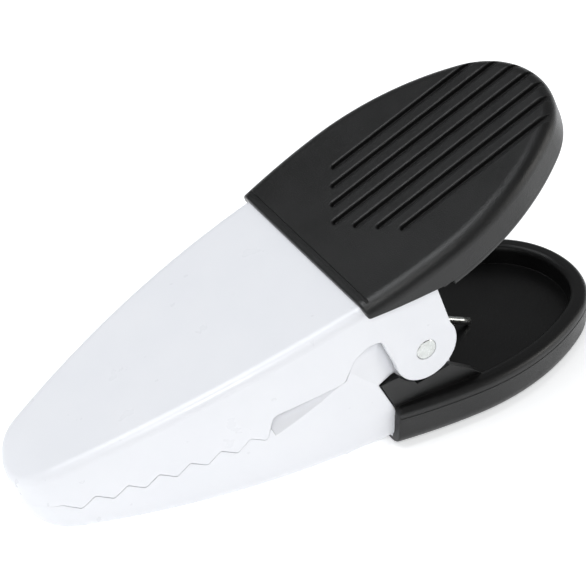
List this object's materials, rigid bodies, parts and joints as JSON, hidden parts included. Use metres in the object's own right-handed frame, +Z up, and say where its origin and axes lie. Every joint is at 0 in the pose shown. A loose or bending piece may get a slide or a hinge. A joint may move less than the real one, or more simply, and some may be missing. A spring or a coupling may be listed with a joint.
{
  "type": "bag clip",
  "caption": "Spring bag clip: two toothed pressed-steel jaws on one pin, held shut by a torsion spring, with ribbed plastic grips.",
  "frame": {"origin": "middle of the clip's box, on the table it lies on", "axes": "+X from the nose towards the grips, +Y across the clip along the pin, +Z up from the table"},
  "size_m": [0.1016, 0.0382, 0.0461],
  "materials": {
    "paint": "satin white paint",
    "grip": "fine textured black",
    "steel": "bright zinc plated"
  },
  "bodies": {
    "lower": {"lower_jaw": "paint", "lower_grip_cover": "grip", "lower_grip_liner": "grip", "torsion_spring": "steel"},
    "upper": {"upper_jaw": "paint", "upper_grip_cover": "grip", "upper_grip_liner": "grip", "pivot_pin": "steel"}
  },
  "joints": [
    {"name": "pivot", "type": "hinge", "parent": "lower", "child": "upper", "pos_m": [0.01076, 0, 0.01671], "axis": [0, 1, 0], "range_deg": [0, 42], "stiffness_Nm_per_rad": 0.48, "springref_deg": -29.79, "deforming": ["torsion_spring"]}
  ]
}
